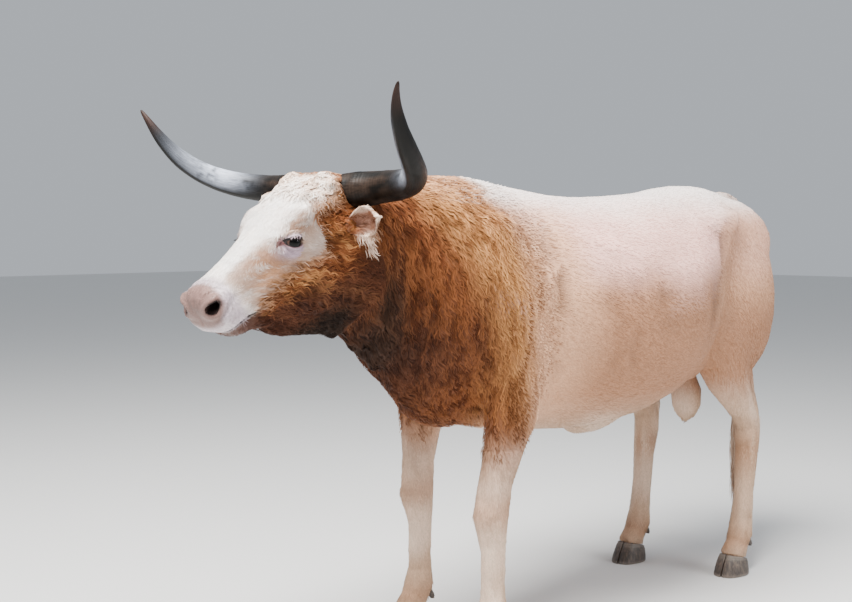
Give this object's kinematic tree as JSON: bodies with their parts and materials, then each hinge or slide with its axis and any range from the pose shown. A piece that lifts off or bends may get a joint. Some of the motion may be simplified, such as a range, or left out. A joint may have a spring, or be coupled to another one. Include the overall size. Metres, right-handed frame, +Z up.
{
  "type": "longhorn bull figure",
  "caption": "Life-size standing longhorn bull with wide upswept horns, a russet neck and a cream face and body, modelled as one still figure.",
  "frame": {"origin": "on the floor, under the middle of the box around the whole figure", "axes": "+Z up; the nose points to -Y and the animal's left side is +X"},
  "size_m": [1.0276, 2.6616, 1.592],
  "materials": {
    "body_hide": "short flat cream coat over skin, almost white along the back, tan low on the flank",
    "neck_hide": "wavy russet coat, nearly black under the throat and golden tan on the crest",
    "face_hide": "cream coat with curls on the poll, russet on cheek and jaw, bare pinkish grey muzzle",
    "leg_hide": "short flat tan coat, paler down the shins",
    "horn": "dark grey horn, rough and ridged at the root, weathered pale patches, smooth brown tips",
    "hoof": "dull dark grey horn with faint growth rings",
    "eye": "wet near-black eye"
  },
  "bodies": {
    "root": {"head": "face_hide", "neck": "neck_hide", "torso": "body_hide", "scrotum": "body_hide", "tail_root": "body_hide", "tail_dock": "body_hide", "tail_switch": "body_hide", "foreleg_left": "leg_hide", "foreshin_left": "leg_hide", "hindleg_left": "leg_hide", "hindshin_left": "leg_hide", "foreleg_right": "leg_hide", "foreshin_right": "leg_hide", "hindleg_right": "leg_hide", "hindshin_right": "leg_hide", "horn_left": "horn", "ear_left": "neck_hide", "eye_left": "eye", "horn_right": "horn", "ear_right": "neck_hide", "eye_right": "eye", "claw_fore_left_l": "hoof", "dewclaw_fore_left_l": "hoof", "claw_fore_left_r": "hoof", "dewclaw_fore_left_r": "hoof", "claw_fore_right_l": "hoof", "dewclaw_fore_right_l": "hoof", "claw_fore_right_r": "hoof", "dewclaw_fore_right_r": "hoof", "claw_hind_left_l": "hoof", "dewclaw_hind_left_l": "hoof", "claw_hind_left_r": "hoof", "dewclaw_hind_left_r": "hoof", "claw_hind_right_l": "hoof", "dewclaw_hind_right_l": "hoof", "claw_hind_right_r": "hoof", "dewclaw_hind_right_r": "hoof"}
  },
  "joints": []
}
